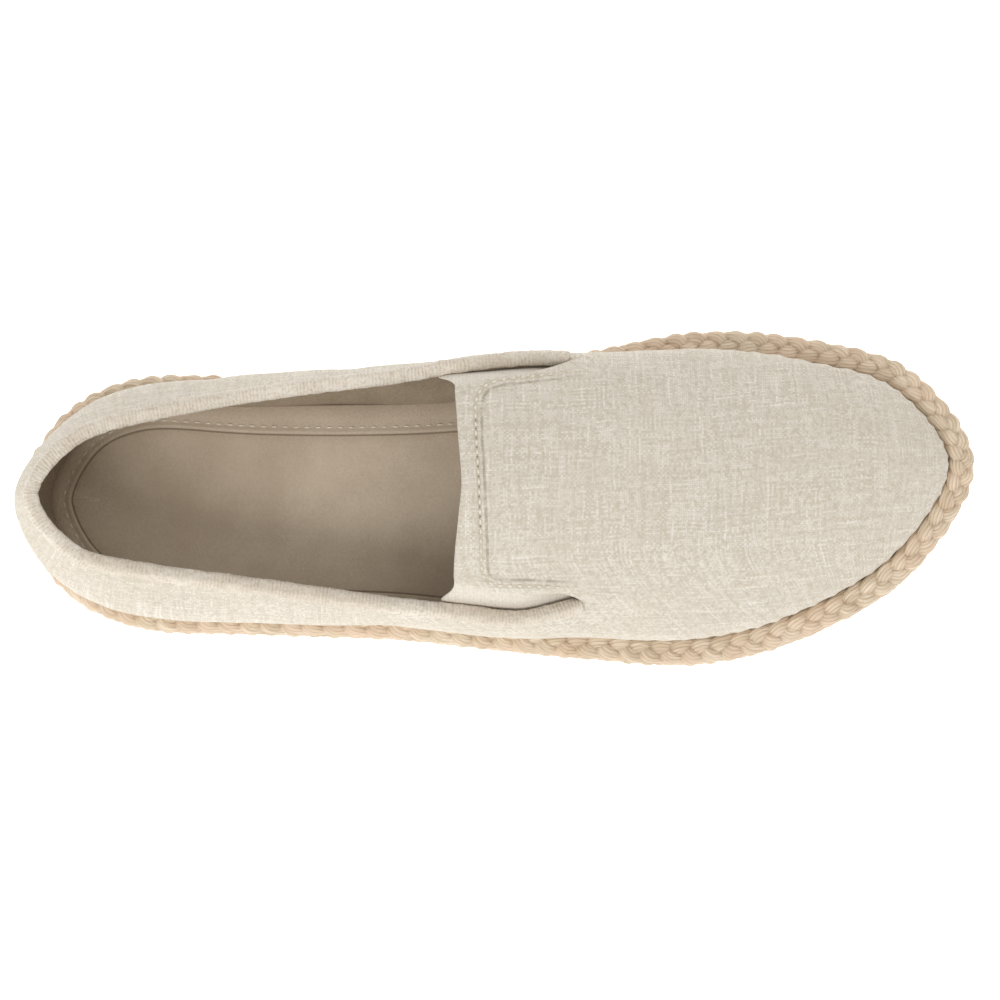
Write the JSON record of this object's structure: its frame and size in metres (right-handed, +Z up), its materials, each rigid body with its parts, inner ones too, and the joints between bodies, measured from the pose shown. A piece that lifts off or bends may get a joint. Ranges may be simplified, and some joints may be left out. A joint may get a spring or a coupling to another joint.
{
  "type": "espadrille",
  "caption": "Right slip-on espadrille: soft linen upper with a square instep tab and elastic side gores on a flat jute sole edged with rope braid.",
  "frame": {"origin": "middle of the shoe's box in plan, on the floor under the sole", "axes": "+X to the toe, +Y to the medial (big-toe) side, +Z up"},
  "size_m": [0.26, 0.0924, 0.065],
  "materials": {
    "linen": "natural plain-weave linen with slubs",
    "binding": "soft brushed folded band",
    "elastic": "fine ribbed elastic webbing",
    "suede": "matt brushed suede",
    "jute_braid": "plaited jute rope, dry",
    "jute_pad": "pressed jute",
    "rubber": "matt crepe-coloured rubber"
  },
  "bodies": {
    "root": {"outsole": "rubber", "jute_core": "jute_pad", "braid_lower": "jute_braid", "braid_upper": "jute_braid", "insole": "suede", "upper": "linen", "gore_lateral": "elastic", "gore_medial": "elastic", "collar_binding": "binding"}
  },
  "joints": []
}
